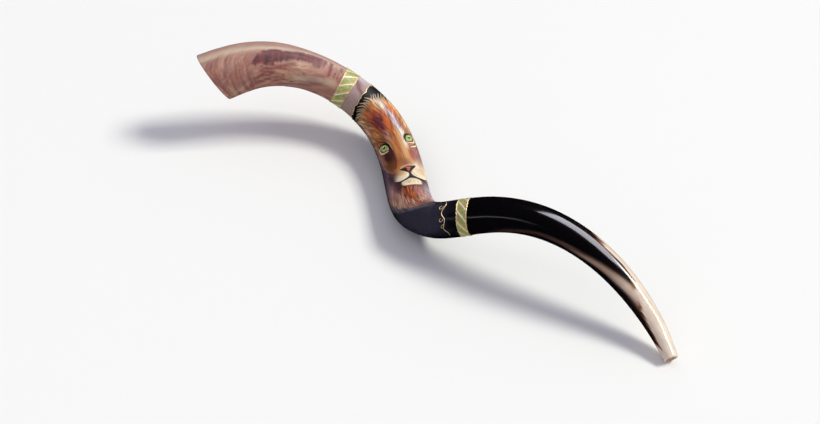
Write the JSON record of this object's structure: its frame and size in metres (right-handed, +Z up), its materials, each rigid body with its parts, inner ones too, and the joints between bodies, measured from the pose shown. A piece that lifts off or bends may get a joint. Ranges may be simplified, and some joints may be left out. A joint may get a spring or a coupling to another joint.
{
  "type": "shofar",
  "caption": "Long spiral kudu-horn shofar with an open bell, drilled mouthpiece, polished natural ends and a hand-painted lion portrait between green bands.",
  "frame": {"origin": "middle of the bounding box at the height of the table that the horn rests on", "axes": "+X from the bell towards the mouthpiece along the horn's length, +Z up as the horn lies on its elbow and mouthpiece, +Y away from the viewer"},
  "size_m": [0.844, 0.1939, 0.1508],
  "materials": {
    "horn_keratin": "polished natural horn, satin to glossy",
    "black_lacquer": "glossy black lacquer",
    "portrait_enamel": "hand-painted enamel under gloss varnish",
    "gold_paint": "raised gold relief paint",
    "band_enamel": "green and ochre enamel",
    "white_enamel": "white enamel"
  },
  "bodies": {
    "root": {"horn": "horn_keratin", "ground_coat": "black_lacquer", "lion_portrait": "portrait_enamel", "border_line": "gold_paint", "upper_band": "band_enamel", "upper_band_lines": "gold_paint", "upper_band_stripes": "white_enamel", "lower_band": "band_enamel", "lower_band_lines": "gold_paint", "lower_band_stripes": "white_enamel", "scroll": "gold_paint"}
  },
  "joints": []
}
